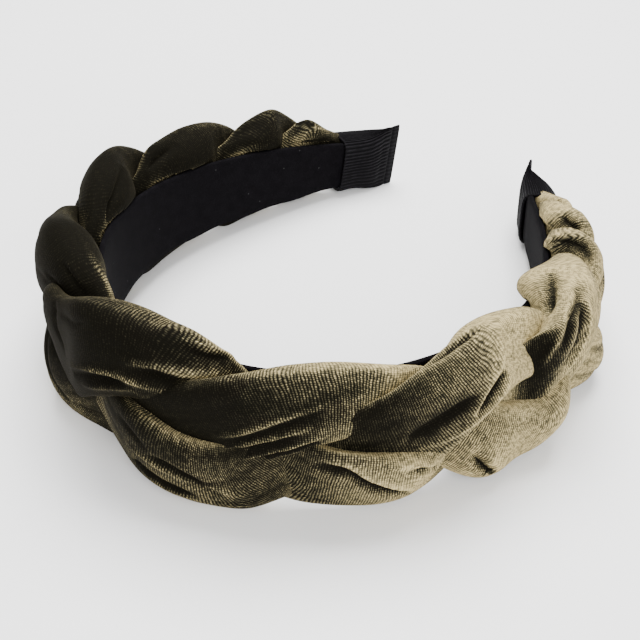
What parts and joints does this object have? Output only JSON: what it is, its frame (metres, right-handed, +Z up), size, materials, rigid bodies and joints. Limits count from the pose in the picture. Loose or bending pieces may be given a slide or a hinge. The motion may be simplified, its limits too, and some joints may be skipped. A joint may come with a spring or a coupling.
{
  "type": "braided headband",
  "caption": "Hard hair band open at the back, its outer side covered by a wide flat plait of padded velvet strands, with ribbon sleeves over both tips",
  "frame": {"origin": "on the table, under the middle of the headband's box", "axes": "+Z up; the band lies on its lower edge with the middle of its front towards -Y, its open tips towards +Y, and +X to the wearer's left when the band is worn with that lower edge towards the face"},
  "size_m": [0.1562, 0.1696, 0.05],
  "materials": {
    "lining": "matt black knitted cloth",
    "velvet": "dark olive stretch velvet with a khaki sheen",
    "ribbon": "matt black ribbed ribbon"
  },
  "bodies": {
    "root": {"lined_band": "lining", "strand_1": "velvet", "strand_2": "velvet", "strand_3": "velvet", "ribbon_tip_left": "ribbon", "ribbon_tip_right": "ribbon"}
  },
  "joints": []
}
